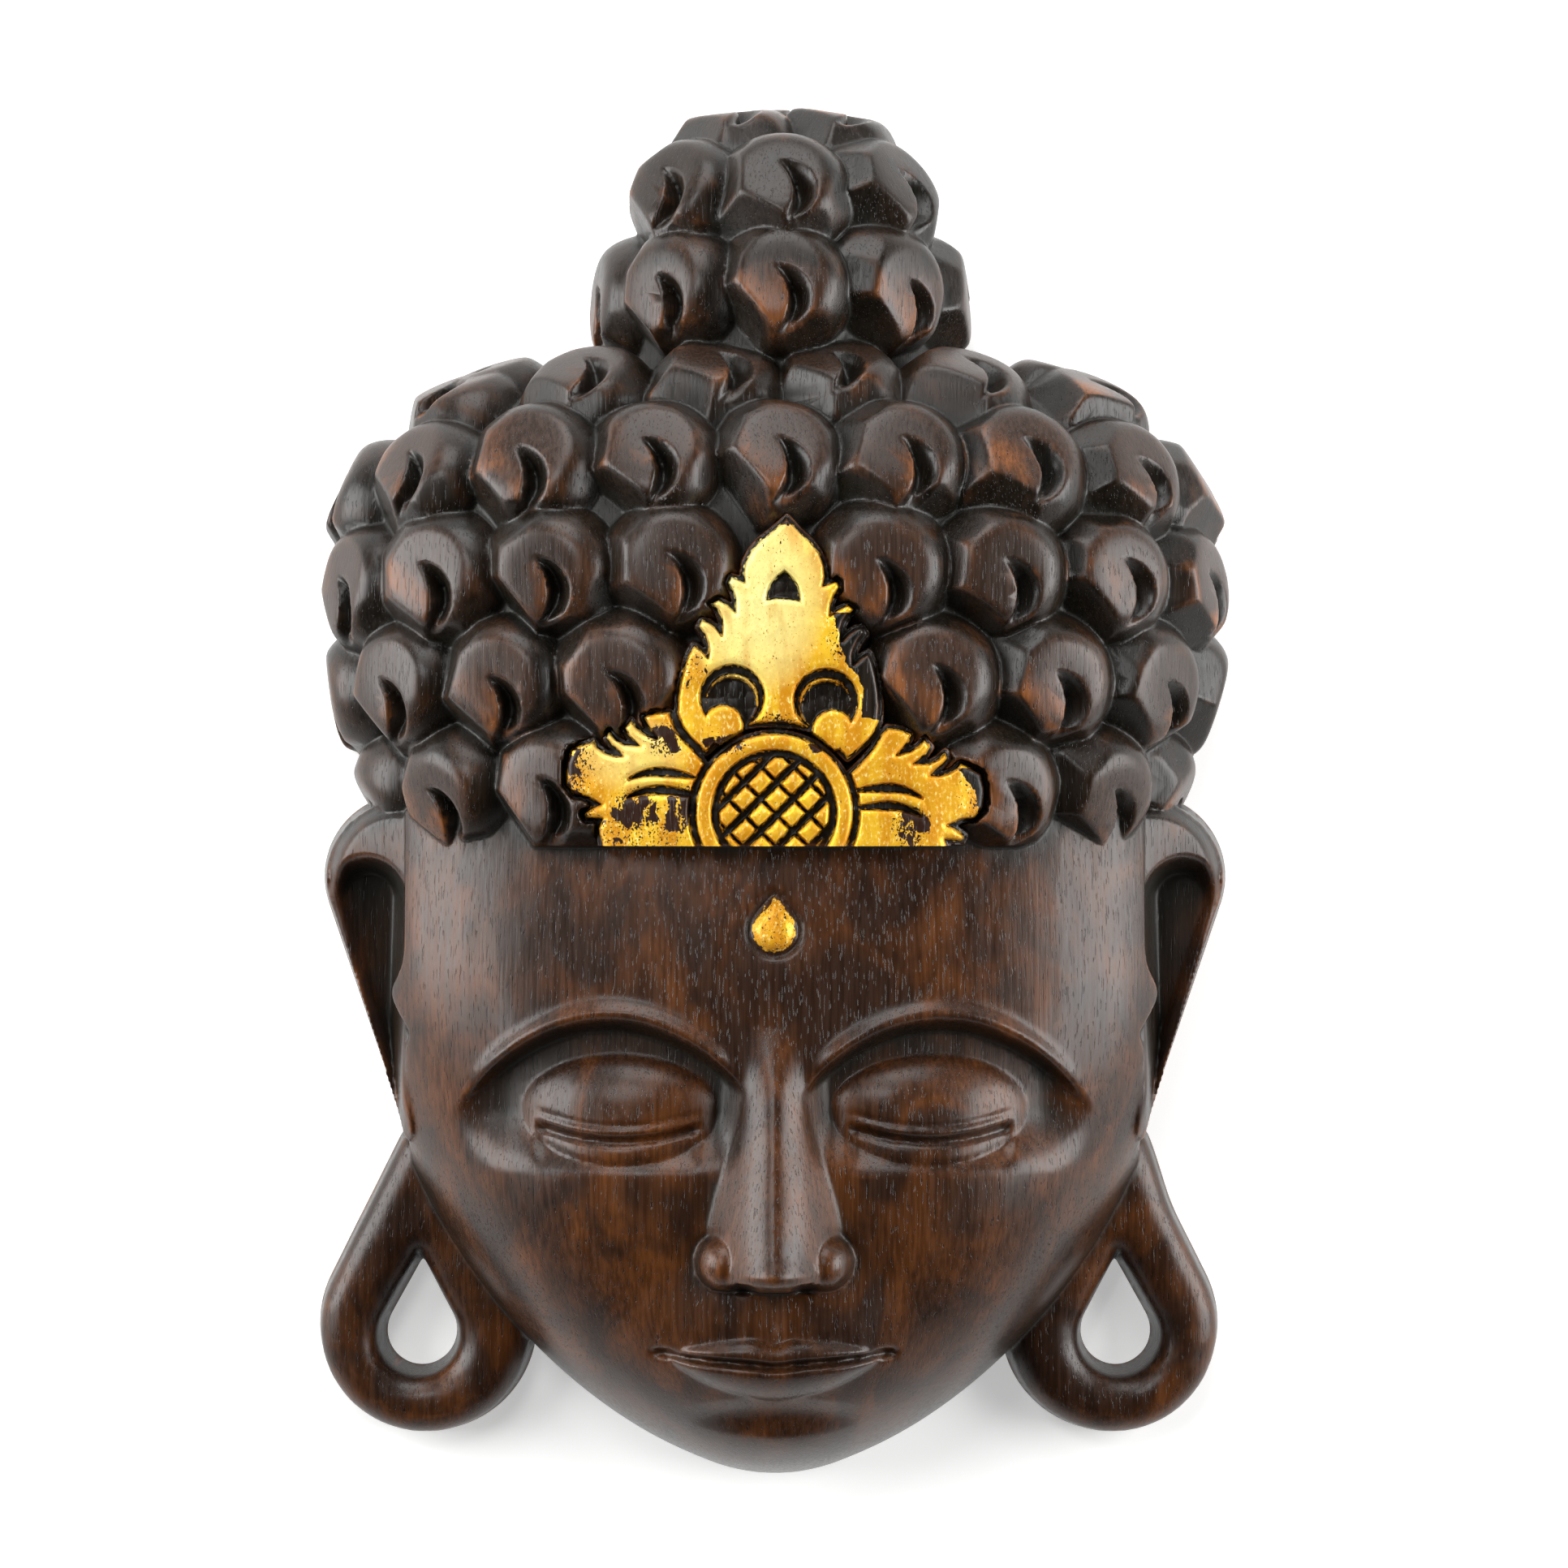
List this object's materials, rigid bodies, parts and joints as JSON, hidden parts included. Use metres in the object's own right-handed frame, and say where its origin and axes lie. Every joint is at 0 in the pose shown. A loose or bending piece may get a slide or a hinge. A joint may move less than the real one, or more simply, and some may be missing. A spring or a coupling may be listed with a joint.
{
  "type": "carved buddha mask",
  "caption": "Carved wooden wall mask of a calm face with rows of snail curls, a topknot, long pierced ears and a gilded crown leaf, hollowed behind.",
  "frame": {"origin": "middle of the mask's outline, on the flat rim of its hollowed back", "axes": "+Z out of the face, +Y to the top of the topknot, +X to the mask's left ear, the right one in a front view"},
  "size_m": [0.332, 0.4954, 0.1118],
  "materials": {
    "stained_wood": "satin lacquer over dark stain, with worn gold leaf on the crown leaf and the brow drop"
  },
  "bodies": {
    "root": {"mask": "stained_wood"}
  },
  "joints": []
}
